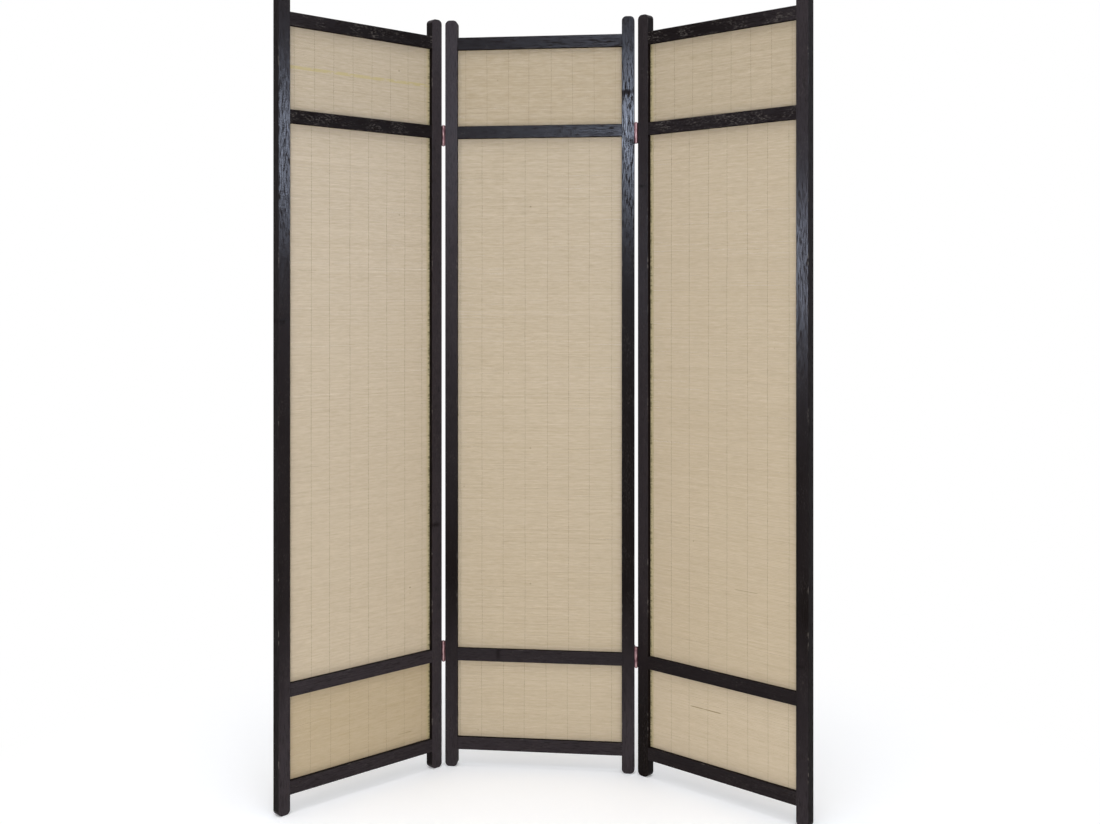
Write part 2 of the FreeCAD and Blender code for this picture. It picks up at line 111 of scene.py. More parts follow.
# How much the slats of a mat, the streaks in a slat and its fibres add to the shade.
TONE_SHARE, STREAK_SHARE, FIBRE_SHARE = 0.12, 0.2, 0.2
# Sizes and detail of the patterns in a slat; fibres are coarser than in life, so that they show.
SLAT_PATTERNS = {
    "streaks": ((22 * MM, 1, 1), 3.0),
    "nicks": ((16 * MM, 1, 1), 1.0),
    "fibres": ((30 * MM, 1 * MM, 1 * MM), 2.0),
}
# A span says where a pattern starts and ends to show, and from what to what it goes, if not from 0 to 1.
STREAK_SPAN, FIBRE_SPAN, NICK_SPAN = (0.3, 0.7), (0.35, 0.65), (0.79, 0.83, 0.0, 0.7)
SKIN_SPAN, BREAK_SPAN, GAP_SHADE_SPAN = (0.35, 0.5, 0.0, 0.8), (0.3, 0.5, 0.4, 1.0), (0.2, 0.7, 0.3, 1.0)
BAMBOO_ROUGHNESS = (0.5, 0.7)
BAMBOO_SHINE = 0.25
FIBRE_DEPTH = 0.1 * MM
# Thicker and thinner places in the cotton thread.
SLUB_SIZES = (4 * MM, 4 * MM, 4 * MM)
SLUB_SPAN = (0.3, 0.7, 0.7, 1.3)
# A few slats of one mat kept their skin: from here to here, as shares of the mat's height.
SKINNED_SHARES = {"left_panel_top_mat": (0.5, 0.53)}
# The end of the slats that gets painted shade along the frame: 1 is right, -1 is left and 0 is neither.
SHADED_ENDS = {"left": 1, "centre": 0, "right": -1}
# The band of painted shade at these ends, and the longest painted dark gap between slat ends in it, from the
# hidden end of a slat.
SHADE_BAND_LENGTH = 15 * MM
GAP_SHADE_LENGTH = 11 * MM

# How far each board is from the dark stain to the light one; streaky patches vary round this.
BOARD_SHADES = {
    "left": {"left_stile": 0.25, "right_stile": 0.85, "bottom_rail": 0.62, "lower_middle_rail": 0.83,
             "upper_middle_rail": 0.0, "top_rail": 0.0},
    "centre": {"left_stile": 0.45, "right_stile": -0.1, "bottom_rail": 0.75, "lower_middle_rail": 0.5,
               "upper_middle_rail": 0.05, "top_rail": 0.05},
    "right": {"left_stile": 0.5, "right_stile": 0.25, "bottom_rail": 0.27, "lower_middle_rail": 0.2,
              "upper_middle_rail": 0.2, "top_rail": 0.05},
}
# Towards its foot a stile is drawn lighter, a painted reflection of the white floor in the lacquer, and darker
# where the share is below 0: from this share of its half length down, by this much.
FOOT_START_SHARE = -0.5
USUAL_FOOT_SHARE = 0.35
FOOT_SHARES = {"centre_panel_left_stile": 1.4, "centre_panel_right_stile": 1.5,
               "left_panel_left_stile": 1.0, "right_panel_left_stile": -0.8, "right_panel_right_stile": 1.2}
# Boards drawn lighter towards one end: the right or upper one where the share is above 0. On the two stiles
# this is a painted sheen, the windows' reflection in the lacquer; the wings' top rails are lighter at their
# outer ends.
SLOPE_SHARES = {"left_panel_top_rail": -0.3, "right_panel_top_rail": 0.4, "centre_panel_left_stile": 0.9,
                "right_panel_right_stile": 0.6}
PATCH_SHARES = {"stile": 0.6, "rail": 0.3}
# Sizes across, through and along a board, detail and span; pores are coarse, so that they show.
GRAIN = {
    "pores": ((1.3 * MM, 1.3 * MM, 20 * MM), 3.0, (0.52, 0.62)),
    "patches": ((60 * MM, 60 * MM, 350 * MM), 2.0, (0.0, 1.0, -0.5, 0.5)),
    "clusters": ((25 * MM, 25 * MM, 45 * MM), 2.0, (0.42, 0.62)),
    "flecks": ((2.4 * MM, 2.4 * MM, 7 * MM), 2.0, (0.52, 0.68)),
    "rings": ((3 * MM, 3 * MM, 150 * MM), 2.0, (0.35, 0.65, 0.0, 0.06)),
}
# The same for the worn stretches of a board's corners and the specks in them.
WEAR = (
    ((400 * MM, 400 * MM, 90 * MM), 2.0, (0.55, 0.62)),
    ((3 * MM, 3 * MM, 9 * MM), 3.0, (0.5, 0.6)),
)
PORE_SHARE = 0.6
PORE_DEPTH = 0.15 * MM
# Lacquer: how strongly it shines, and its roughness on stiles and rails.
LACQUER_SHINE = 0.05
SATIN_ROUGHNESS = {"stile": 0.18, "rail": 0.26}
# Added by open pores, and on narrow sides, where the lacquer is rubbed or there is a knot.
PORE_ROUGHNESS = 0.4
DULL_ROUGHNESS = 0.3
# The upper rails of the wings were finished less smoothly.
ROUGH_BOARDS = ("left_panel_top_rail", "left_panel_upper_middle_rail", "right_panel_top_rail",
                "right_panel_upper_middle_rail")
FLECK_SHARE, ROUGH_FLECK_SHARE = 0.12, 0.55

# Knots, as a share of a board's half length from its middle; other boards are clear.
KNOT_SHARES = {
    "centre_panel_right_stile": 0.8,
    "left_panel_right_stile": -0.35,
    "right_panel_left_stile": 0.55,
    "right_panel_right_stile": -0.62,
    "left_panel_left_stile": 0.2,
    "centre_panel_lower_middle_rail": -0.5,
}
KNOT_SPAN = (1.5, 0.2, 0.0, 0.85)

# Flecks in the bare dowels.
BEECH_FLECK = 1.5 * MM
BEECH_SPAN = (0.0, 1.0, 0.8, 1.1)

# Material and roughness of each slot's pale copper, which is a painted highlight, and what the patina round it
# adds.
PLATINGS = {
    "hinge_metal": ("aged_copper_plate", 0.6),
    "hinge_pin": ("aged_copper_pin", 0.5),
    "hinge_screw": ("aged_copper_screw", 0.55),
}
PATINA_ROUGHNESS = 0.2
BLOTCH_SIZES = (4 * MM, 4 * MM, 12 * MM)
BLOTCH_DEPTH = 0.1 * MM
BLOTCH_SPAN, FRONT_FACING_SPAN = (0.3, 0.55), (0.6, 0.97)

# The photograph's frame in pixels, with the point straight ahead of the camera and its focal length.
PHOTO_WIDTH, PHOTO_HEIGHT = 1100, 824
AHEAD_X, AHEAD_Y = 511.5, 296.6
FOCAL_PIXELS = 1275.5
SENSOR_WIDTH = 36
CAMERA_PLACE = Vector((0.2566, -2.8799, 1.1335))
CAMERA_TURN = math.radians(6.632)

# Place, aim, width, height and colour of the soft lights, and of the windows that only show in gloss.
LAMPS = {
    "key": ((0.3, -4.4, 0.6), (0, 0.1, 0.7), 3.0, 1.0, "#FFFFFF"),
    "top": ((0, -1.5, 6.0), (0, -1.4, 0), 5.0, 6.6, "#F3F7FF"),
    "back": ((0, 4.8, 0.55), (0, 0, 0.9), 3.0, 1.0, "#FFFFFF"),
}
WINDOWS = {
    "front_window": ((0.03, -6.0, 2.33), (0.1, 0.16, 1.5), 0.6, 0.5, "#D8E5FF"),
    "right_window": ((3.0, -0.8, 1.86), (-0.55, -0.15, 1.45), 0.5, 0.6, "#D8E5FF"),
    "left_window": ((-2.75, -1.5, 1.3), (0.56, -0.1, 1.2), 0.5, 0.6, "#D8E5FF"),
}
# How much the floor seems to glow to the camera, so that it is white round the screen's shadow.
FLOOR_GLOW = 0.18
# The floor's reach, its colour, and where it starts and ends to fade to white.
FLOOR_REACH = 8.0
FLOOR_COLOUR = "#FBFBFB"
FLOOR_FADE = (0.7, 1.4)


def linear(hex_colour):
    """The linear RGB of an sRGB hex colour."""
    shares = [int(hex_colour[place:place + 2], 16) / 255 for place in (1, 3, 5)]
    return [share / 12.92 if share <= 0.04045 else ((share + 0.055) / 1.055) ** 2.4 for share in shares]


def colour_property(name, description, hex_colour):
    """A colour that a user can change, given as an sRGB hex value."""
    return bpy.props.FloatVectorProperty(name=name, description=description, subtype="COLOR", size=3,
                                         min=0, max=1, default=linear(hex_colour))


def add(tree, kind, inputs=(), **settings):
    """Add a node with its settings, and set or link its inputs by name or, without names, in their order."""
    node = tree.nodes.new(kind)
    for name, value in settings.items():
        setattr(node, name, value)
    for key, value in inputs.items() if isinstance(inputs, dict) else enumerate(inputs):
        if isinstance(key, str):
            socket = next(item for item in node.inputs if item.enabled and item.name == key)
        else:
            socket = node.inputs[key]
        if isinstance(value, bpy.types.Node):
            value = next(item for item in value.outputs if item.enabled)
        if isinstance(value, bpy.types.NodeSocket):
            tree.links.new(value, socket)
        elif socket.type == "RGBA":
            socket.default_value = (*value, 1)
        else:
            socket.default_value = value
    return node


class MatSizes(bpy.types.PropertyGroup):
    """Sizes of the slats and threads of the mats."""

    slat_pitch: bpy.props.FloatProperty(
        name="Slat pitch", description="Height of one slat in the mat", default=3.4 * MM, unit="LENGTH")
    slat_thickness: bpy.props.FloatProperty(
        name="Slat thickness", description="Front to back of a slat", default=1.5 * MM, unit="LENGTH")
    slat_corner: bpy.props.FloatProperty(
        name="Slat corner", description="Eased corner of a slat", default=0.2 * MM, unit="LENGTH")
    bow_length: bpy.props.FloatProperty(
        name="Bow length", description="Length over which a slat bows", default=110 * MM, unit="LENGTH")
    slat_wander: bpy.props.FloatProperty(
        name="Slat wander", description="How far slats stray from a straight line", default=0.35 * MM,
        unit="LENGTH")
    thread_spacing: bpy.props.FloatProperty(
        name="Thread spacing", description="Between neighbouring binding threads", default=52 * MM,
        unit="LENGTH")
    thread_diameter: bpy.props.FloatProperty(
        name="Thread diameter", description="Thickness of one strand", default=0.7 * MM, unit="LENGTH")
    seed: bpy.props.IntProperty(
        name="Seed", description="Changes the random tones and places of the slats", default=7)


class FinishColours(bpy.types.PropertyGroup):
    """Colours of the screen's finishes."""

    stain_dark: colour_property("Dark stain", "Dense late wood under the stain", "#130D0C")
    stain_light: colour_property("Light stain", "Open early wood under the stain", "#393336")
    scuff: colour_property("Scuffs", "Bare wood where edges are rubbed", "#645E59")
    bamboo_pale: colour_property("Pale bamboo", "Inner wood of the slats", "#CFC0A9")
    bamboo_deep: colour_property("Deep bamboo", "Darker slats and streaks", "#A29173")
    # Also tints the painted shade along the frame at the slat ends.
    bamboo_skin_and_edge_shade: colour_property("Bamboo skin", "Yellow-green skin left on a few slats", "#BBAC78")
    bamboo_aged: colour_property("Aged bamboo", "Slats that have yellowed", "#BFA575")
    # Colours the dark nicks and streaks of the slats, and the painted dark gaps between slat ends next to the
    # frame.
    dark_mark_and_gap_shade: colour_property("Stain marks", "Frame stain in the ends of slats", "#756B4C")
    cotton: colour_property("Cotton", "Unbleached binding thread", "#7E7054")
    # Pale copper, used as a painted highlight on the hinges' faces that look to the front and back.
    copper: colour_property("Copper", "Rubbed copper plating", "#A88884")
    copper_aged: colour_property("Aged copper", "Dark red-brown patina", "#5A343A")
    beech: colour_property("Beech", "Plain dowel wood", "#C9A57B")


class StudioSettings(bpy.types.PropertyGroup):
    """Light of the pale studio."""

    key_power: bpy.props.FloatProperty(
        name="Key light", description="Large soft light behind the camera", default=65, unit="POWER")
    top_power: bpy.props.FloatProperty(
        name="Top light", description="Soft light above the screen", default=290, unit="POWER")
    back_power: bpy.props.FloatProperty(
        name="Back light", description="Soft light on the back of the screen", default=55, unit="POWER")
    front_window_power: bpy.props.FloatProperty(
        name="Front window", description="Cool light that shows in the centre frame", default=310, unit="POWER")
    right_window_power: bpy.props.FloatProperty(
        name="Right window", description="Cool light that shows in the left frame", default=92, unit="POWER")
    left_window_power: bpy.props.FloatProperty(
        name="Left window", description="Cool light that shows in the right frame", default=66, unit="POWER")
    ambient: bpy.props.FloatProperty(
        name="Ambient", description="Even light from all round", default=0.37, min=0)


def panel_turn(panel):
    """How far a panel is turned about the upright axis, as it stands."""
    for joint in frame["joints"]:
        if joint["name"] == f"{panel}_front_hinge":
            return -math.radians(joint["range_deg"][0]) * joint["axis"][2]
    return 0.0


def middle(node):
    """The middle of a CAD node."""
    low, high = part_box(node)
    return (low + high) / 2


def size_of(node):
    """The size of a CAD node that stands square to the axes."""
    low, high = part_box(node)
    return high - low


def new_tree(name, inputs):
    """An empty tree of geometry nodes with named inputs."""
    tree = bpy.data.node_groups.new(name, "GeometryNodeTree")
    for label, kind in inputs.items():
        tree.interface.new_socket(name=label, in_out="INPUT", socket_type=f"NodeSocket{kind}")
    tree.interface.new_socket(name="Geometry", in_out="OUTPUT", socket_type="NodeSocketGeometry")
    return tree


def slat_strip(tree, given, half_length):
    """One slat: a flat strip with eased corners, cut into lengths that are shorter towards its ends."""
    line = add(tree, "GeometryNodeMeshLine", {
        "Count": SLAT_LENGTHS + 1, "Start Location": (-1, 0, 0), "Offset": (2 / SLAT_LENGTHS, 0, 0)})
    place = add(tree, "GeometryNodeInputPosition")
    along = add(tree, "ShaderNodeSeparateXYZ", (place,)).outputs["X"]
    far = add(tree, "ShaderNodeMath", (along,), operation="ABSOLUTE")
    crowding = add(tree, "ShaderNodeMath", (2, far), operation="SUBTRACT")
    share = add(tree, "ShaderNodeMath", (along, crowding), operation="MULTIPLY")
    reach = add(tree, "ShaderNodeMath", (share, half_length), operation="MULTIPLY")
    point = add(tree, "ShaderNodeCombineXYZ", {"X": reach})
    cuts = add(tree, "GeometryNodeSetPosition", {"Geometry": line, "Position": point})
    path = add(tree, "GeometryNodeMeshToCurve", (cuts,))
    section = add(tree, "GeometryNodeCurvePrimitiveQuadrilateral", {
        "Width": given["Thickness"], "Height": given["Pitch"]})
    eased = add(tree, "GeometryNodeFilletCurve", {"Curve": section, "Radius": given["Corner"]}, mode="POLY")
    strip = add(tree, "GeometryNodeCurveToMesh", {"Curve": path, "Profile Curve": eased, "Fill Caps": True})
    return add(tree, "GeometryNodeSetShadeSmooth", {"Geometry": strip, "Shade Smooth": False})


def slat_tree():
    """Slats stacked up a mat, each with its own tone, lean and bow."""
    tree = new_tree("stacked_slats", {
        "Slats": "Int", "Pitch": "Float", "Length": "Float", "Thickness": "Float", "Corner": "Float",
        "Wander": "Float", "Bow length": "Float", "Shade": "Float", "Aged": "Float", "Streak": "Vector",
        "Darkness": "Float", "Marked end": "Float", "Skin from": "Float", "Skin to": "Float", "Seed": "Int",
        "Bamboo": "Material"})
    given = add(tree, "NodeGroupInput").outputs
    chances = {}
    for step, (name, (low, high)) in enumerate(SLAT_CHANCES.items()):
        kind = "FLOAT_VECTOR" if isinstance(low, tuple) else "FLOAT"
        seed = add(tree, "ShaderNodeMath", (given["Seed"], step), operation="ADD")
        chances[name] = add(tree, "FunctionNodeRandomValue", {"Min": low, "Max": high, "Seed": seed},
                            data_type=kind)
    half_length = add(tree, "ShaderNodeMath", (given["Length"], 2), operation="DIVIDE")
    half_pitch = add(tree, "ShaderNodeMath", (given["Pitch"], 2), operation="DIVIDE")
    start = add(tree, "ShaderNodeCombineXYZ", {"Z": half_pitch})
    rise = add(tree, "ShaderNodeCombineXYZ", {"Z": given["Pitch"]})
    row = add(tree, "GeometryNodeMeshLine", {
        "Count": given["Slats"], "Start Location": start, "Offset": rise})
    stray = add(tree, "ShaderNodeVectorMath", {0: chances["stray"], "Scale": given["Wander"]},
                operation="SCALE")
    loose = add(tree, "GeometryNodeSetPosition", {"Geometry": row, "Offset": stray})
    slats = add(tree, "GeometryNodeInstanceOnPoints", {
        "Points": loose, "Instance": slat_strip(tree, given, half_length),
        "Rotation": chances["lean"], "Scale": chances["size"]})
    place = add(tree, "GeometryNodeInputPosition")
    level = add(tree, "ShaderNodeSeparateXYZ", (place,)).outputs["Z"]
    above = add(tree, "ShaderNodeMath", (level, given["Skin from"]), operation="GREATER_THAN")
    below = add(tree, "ShaderNodeMath", (level, given["Skin to"]), operation="LESS_THAN")
    skinned = add(tree, "ShaderNodeMath", (above, below), operation="MULTIPLY")
    kept = {"tone": chances["tone"], "mat_shade": given["Shade"], "mat_aged": given["Aged"],
            "mat_streak": given["Streak"], "streak_share": given["Darkness"],
            "marked_end": given["Marked end"], "skin": skinned}
    for name, value in kept.items():
        kind = "FLOAT_VECTOR" if name == "mat_streak" else "FLOAT"
        slats = add(tree, "GeometryNodeStoreNamedAttribute", {"Geometry": slats, "Name": name, "Value": value},
                    data_type=kind, domain="INSTANCE")
    real = add(tree, "GeometryNodeRealizeInstances", {"Geometry": slats})
    bowed = bowed_slats(tree, given, real)
    finished = add(tree, "GeometryNodeSetMaterial", {"Geometry": bowed, "Material": given["Bamboo"]})
    add(tree, "NodeGroupOutput", {"Geometry": finished})
    return tree


def bowed_slats(tree, given, slats):
    """Bow each slat along its length, and keep each point's place in the straight slat for the material."""
    place = add(tree, "GeometryNodeInputPosition")
    marked = add(tree, "GeometryNodeStoreNamedAttribute", {
        "Geometry": slats, "Name": "slat_place", "Value": place}, data_type="FLOAT_VECTOR")
    tone = add(tree, "GeometryNodeInputNamedAttribute", {"Name": "tone"})
    along = add(tree, "ShaderNodeSeparateXYZ", (place,)).outputs["X"]
    bow_share = add(tree, "ShaderNodeMath", (along, given["Bow length"]), operation="DIVIDE")
    apart = add(tree, "ShaderNodeMath", (tone, SLATS_APART), operation="MULTIPLY")
    own_line = add(tree, "ShaderNodeCombineXYZ", {"X": bow_share, "Y": apart})
    bends = add(tree, "ShaderNodeTexNoise", {"Vector": own_line, "Scale": 1.0, "Detail": 1.0})
    centred = add(tree, "ShaderNodeVectorMath", (bends.outputs["Color"], NOISE_MIDDLE), operation="SUBTRACT")
    shaped = add(tree, "ShaderNodeVectorMath", (centred, BOW_SHARES), operation="MULTIPLY")
    bow = add(tree, "ShaderNodeVectorMath", {0: shaped, "Scale": given["Wander"]}, operation="SCALE")
    return add(tree, "GeometryNodeSetPosition", {"Geometry": marked, "Offset": bow})


def thread_tree():
    """Rows of twined thread: in each, two strands change sides between one slat and the next."""
    tree = new_tree("twined_threads", {
        "Threads": "Int", "First": "Float", "Spacing": "Float", "Slats": "Int", "Pitch": "Float",
        "Thickness": "Float", "Diameter": "Float", "Seed": "Int", "Cotton": "Material"})
    given = add(tree, "NodeGroupInput").outputs
    height = add(tree, "ShaderNodeMath", (given["Slats"], given["Pitch"]), operation="MULTIPLY")
    end = add(tree, "ShaderNodeCombineXYZ", {"Z": height})
    line = add(tree, "GeometryNodeCurvePrimitiveLine", {"Start": (0, 0, 0), "End": end})
    count = add(tree, "ShaderNodeMath", (given["Slats"], THREAD_STEPS, 1), operation="MULTIPLY_ADD")
    points = add(tree, "GeometryNodeResampleCurve", {"Curve": line, "Count": count})

    index = add(tree, "GeometryNodeSplineParameter").outputs["Index"]
    angle = add(tree, "ShaderNodeMath", (index, math.pi / THREAD_STEPS), operation="MULTIPLY")
    reach = add(tree, "ShaderNodeMath", (given["Thickness"], given["Diameter"]), operation="ADD")
    half_reach = add(tree, "ShaderNodeMath", (reach, 2), operation="DIVIDE")
    radius = add(tree, "ShaderNodeMath", (given["Diameter"], 2), operation="DIVIDE")
    sine = add(tree, "ShaderNodeMath", (angle,), operation="SINE")
    cosine = add(tree, "ShaderNodeMath", (angle,), operation="COSINE")
    sideways = add(tree, "ShaderNodeMath", (cosine, radius), operation="MULTIPLY")
    outwards = add(tree, "ShaderNodeMath", (sine, half_reach), operation="MULTIPLY")
    swing = add(tree, "ShaderNodeCombineXYZ", {"X": sideways, "Y": outwards})
    strand = add(tree, "GeometryNodeSetPosition", {"Geometry": points, "Offset": swing})
    ring = add(tree, "GeometryNodeCurvePrimitiveCircle", {"Resolution": THREAD_SIDES, "Radius": radius})
    tube = add(tree, "GeometryNodeCurveToMesh", {"Curve": strand, "Profile Curve": ring, "Fill Caps": True})
    twin = add(tree, "GeometryNodeTransform", {"Geometry": tube, "Rotation": (0, 0, math.pi)})
    pair = add(tree, "GeometryNodeJoinGeometry", {"Geometry": tube})
    tree.links.new(twin.outputs[0], pair.inputs[0])

    first = add(tree, "ShaderNodeCombineXYZ", {"X": given["First"]})
    step = add(tree, "ShaderNodeCombineXYZ", {"X": given["Spacing"]})
    row = add(tree, "GeometryNodeMeshLine", {
        "Count": given["Threads"], "Start Location": first, "Offset": step})
    stray = add(tree, "FunctionNodeRandomValue", {
        "Min": (-THREAD_STRAY_SHARE, 0, 0), "Max": (THREAD_STRAY_SHARE, 0, 0), "Seed": given["Seed"]},
        data_type="FLOAT_VECTOR")
    shift = add(tree, "ShaderNodeVectorMath", {0: stray, "Scale": given["Spacing"]}, operation="SCALE")
    loose = add(tree, "GeometryNodeSetPosition", {"Geometry": row, "Offset": shift})
    lines = add(tree, "GeometryNodeInstanceOnPoints", {"Points": loose, "Instance": pair})
    real = add(tree, "GeometryNodeRealizeInstances", {"Geometry": lines})

    place = add(tree, "GeometryNodeInputPosition")
    shrunk = add(tree, "ShaderNodeVectorMath", (place, THREAD_BENDS_PER_METRE), operation="MULTIPLY")
    bends = add(tree, "ShaderNodeTexNoise", {"Vector": shrunk, "Scale": 1.0, "Detail": 2.0})
    centred = add(tree, "ShaderNodeMath", (bends, NOISE_MIDDLE[0]), operation="SUBTRACT")
    wander = add(tree, "ShaderNodeMath", (centred, given["Pitch"]), operation="MULTIPLY")
    drift = add(tree, "ShaderNodeCombineXYZ", {"X": wander})
    bowed = add(tree, "GeometryNodeSetPosition", {"Geometry": real, "Offset": drift})
    finished = add(tree, "GeometryNodeSetMaterial", {"Geometry": bowed, "Material": given["Cotton"]})
    add(tree, "NodeGroupOutput", {"Geometry": finished})
    return tree


def grown(name, tree, inputs, place):
    """A piece whose mesh is what a tree of geometry nodes makes, put in its place."""
    piece = bpy.data.objects.new(name, bpy.data.meshes.new(name))
    bpy.context.scene.collection.objects.link(piece)
    modifier = piece.modifiers.new("weave", "NODES")
    modifier.node_group = tree
    for item in tree.interface.items_tree:
        if item.name in inputs:
            modifier[item.identifier] = inputs[item.name]
    graph = bpy.context.evaluated_depsgraph_get()
    mesh = bpy.data.meshes.new_from_object(piece.evaluated_get(graph))
    piece.modifiers.remove(modifier)
    piece.data = mesh
    mesh.transform(place)
    return piece


def new_material(name):
    """A new material and its empty tree of nodes."""
    material = bpy.data.materials.new(name)
    material.use_nodes = True
    material.node_tree.nodes.clear()
    return material, material.node_tree


def split_bamboo(colours):
    """Split bamboo, planed and left bare: straw slats of different tones, streaked along the fibres."""
    material, tree = new_material("split_bamboo")
    tone = add(tree, "ShaderNodeAttribute", attribute_name="tone").outputs["Fac"]
    place = add(tree, "ShaderNodeAttribute", attribute_name="slat_place").outputs["Vector"]
    along = add(tree, "ShaderNodeSeparateXYZ", (place,)).outputs["X"]
    # Streaks and nicks stay within their own slat.
    apart = add(tree, "ShaderNodeMath", (tone, SLATS_APART), operation="MULTIPLY")
    own_line = add(tree, "ShaderNodeCombineXYZ", {"X": along, "Y": apart})
    patterns = {}
    for name, (sizes, detail) in SLAT_PATTERNS.items():
        start = place if name == "fibres" else own_line
        shrunk = add(tree, "ShaderNodeVectorMath", (start, sizes), operation="DIVIDE")
        patterns[name] = add(tree, "ShaderNodeTexNoise", {"Vector": shrunk, "Scale": 1.0, "Detail": detail})
    streaks = add(tree, "ShaderNodeMapRange", (patterns["streaks"], *STREAK_SPAN))
    fibres = add(tree, "ShaderNodeMapRange", (patterns["fibres"], *FIBRE_SPAN))
    nicks = add(tree, "ShaderNodeMapRange", (patterns["nicks"], *NICK_SPAN))
    patches = add(tree, "ShaderNodeMapRange", (patterns["streaks"], *SKIN_SPAN))
    here = add(tree, "ShaderNodeTexCoord").outputs["Object"]
    height = add(tree, "ShaderNodeSeparateXYZ", (here,)).outputs["Z"]
    # Paler towards the floor as painted light, and yellower.
    floorward = add(tree, "ShaderNodeMapRange", (height, *FLOORWARD_HEIGHTS))
    shade = add(tree, "ShaderNodeAttribute", attribute_name="mat_shade").outputs["Fac"]
    for part, share in ((tone, TONE_SHARE), (streaks, STREAK_SHARE), (fibres, FIBRE_SHARE),
                        (floorward, FLOORWARD_LIFT_SHARE)):
        shade = add(tree, "ShaderNodeMath", (part, share, shade), operation="MULTIPLY_ADD")
    aged = add(tree, "ShaderNodeAttribute", attribute_name="mat_aged").outputs["Fac"]
    aged = add(tree, "ShaderNodeMath", (floorward, FLOORWARD_YELLOW_SHARE, aged), operation="MULTIPLY_ADD")
    skin = add(tree, "ShaderNodeAttribute", attribute_name="skin").outputs["Fac"]
    skin = add(tree, "ShaderNodeMath", (skin, patches), operation="MULTIPLY")
    # Painted shade along the frame at one end of the slats, and painted dark gaps between their ends.
    band, marks = shaded_slat_ends(tree, tone, along, fibres)
    green = add(tree, "ShaderNodeMath", (band, skin), operation="MAXIMUM")
    colour = colours.bamboo_pale
    for share, over in ((shade, colours.bamboo_deep), (nicks, colours.dark_mark_and_gap_shade),
                        (dark_streak(tree, place, patterns["streaks"]), colours.dark_mark_and_gap_shade),
                        (aged, colours.bamboo_aged), (green, colours.bamboo_skin_and_edge_shade), (marks, colours.dark_mark_and_gap_shade)):
        colour = add(tree, "ShaderNodeMix", {"Factor": share, "A": colour, "B": over}, data_type="RGBA")
    rough = add(tree, "ShaderNodeMapRange", (fibres, 0.0, 1.0, *BAMBOO_ROUGHNESS))
    bump = add(tree, "ShaderNodeBump", {"Height": fibres, "Strength": 0.3, "Distance": FIBRE_DEPTH})
    shader = add(tree, "ShaderNodeBsdfPrincipled", {
        "Base Color": colour, "Roughness": rough, "Normal": bump, "Specular IOR Level": BAMBOO_SHINE})
    add(tree, "ShaderNodeOutputMaterial", {"Surface": shader})
    return material


def dark_streak(tree, place, streak_pattern):
    """How dark a mat is in its one dark streak, which is thinner than a slat and broken up along it."""
    fade, half_height, blur = 6 * MM, 0.6 * MM, 0.6 * MM
    streak = add(tree, "ShaderNodeAttribute", attribute_name="mat_streak").outputs["Vector"]
    ends = add(tree, "ShaderNodeSeparateXYZ", (streak,)).outputs
    here = add(tree, "ShaderNodeSeparateXYZ", (place,)).outputs
    begun = add(tree, "ShaderNodeMath", (here["X"], ends["X"]), operation="SUBTRACT")
    left = add(tree, "ShaderNodeMath", (ends["Y"], here["X"]), operation="SUBTRACT")
    above = add(tree, "ShaderNodeMath", (here["Z"], ends["Z"]), operation="SUBTRACT")
    off = add(tree, "ShaderNodeMath", (above,), operation="ABSOLUTE")
    dark = add(tree, "ShaderNodeAttribute", attribute_name="streak_share").outputs["Fac"]
    for value, span in ((begun, (0.0, fade)), (left, (0.0, fade)), (off, (half_height + blur, half_height)),
                        (streak_pattern, BREAK_SPAN)):
        part = add(tree, "ShaderNodeMapRange", (value, *span))
        dark = add(tree, "ShaderNodeMath", (dark, part), operation="MULTIPLY")
    return dark


def shaded_slat_ends(tree, tone, along, fibres):
    """A tinted band of painted shade at one end of the slats, next to the frame, and painted dark gaps between
    the slat ends in it.
    """
    fade, band_share = 4 * MM, 0.5
    end = add(tree, "ShaderNodeAttribute", attribute_name="marked_end").outputs["Fac"]
    side = add(tree, "ShaderNodeMath", (end,), operation="SIGN")
    present = add(tree, "ShaderNodeMath", (side,), operation="ABSOLUTE")
    inward = add(tree, "ShaderNodeMath", (end, along), operation="SUBTRACT")
    gap = add(tree, "ShaderNodeMath", (inward, side), operation="MULTIPLY")
    band = add(tree, "ShaderNodeMapRange", (gap, SHADE_BAND_LENGTH, SHADE_BAND_LENGTH - fade, 0.0, band_share))
    # A number of its own for each slat, apart from its tone.
    apart = add(tree, "ShaderNodeMath", (tone, SLATS_APART), operation="MULTIPLY")
    chance = add(tree, "ShaderNodeMath", (apart,), operation="FRACT")
    length = add(tree, "ShaderNodeMapRange", (chance, 0.0, 1.0, GAP_SHADE_LENGTH / 2, GAP_SHADE_LENGTH))
    inside = add(tree, "ShaderNodeMath", (length, gap), operation="SUBTRACT")
    mark = add(tree, "ShaderNodeMapRange", (inside, 0.0, fade))
    streaky = add(tree, "ShaderNodeMapRange", (fibres, *GAP_SHADE_SPAN))
    mark = add(tree, "ShaderNodeMath", (mark, streaky), operation="MULTIPLY")
    return [add(tree, "ShaderNodeMath", (part, present), operation="MULTIPLY") for part in (band, mark)]


def cotton_thread(colours):
    """Unbleached cotton, spun and twined: dull, with a soft fuzz and slightly uneven shade."""
    material, tree = new_material("cotton_thread")
    place = add(tree, "ShaderNodeTexCoord").outputs["Object"]
    shrunk = add(tree, "ShaderNodeVectorMath", (place, SLUB_SIZES), operation="DIVIDE")
    slubs = add(tree, "ShaderNodeTexNoise", {"Vector": shrunk, "Scale": 1.0, "Detail": 2.0})
    shade = add(tree, "ShaderNodeMapRange", (slubs, *SLUB_SPAN))
    colour = add(tree, "ShaderNodeVectorMath", {0: tuple(colours.cotton), "Scale": shade}, operation="SCALE")
    shader = add(tree, "ShaderNodeBsdfPrincipled", {
        "Base Color": colour, "Roughness": 0.9, "Specular IOR Level": 0.2, "Sheen Weight": 0.2})
    add(tree, "ShaderNodeOutputMaterial", {"Surface": shader})
    return material


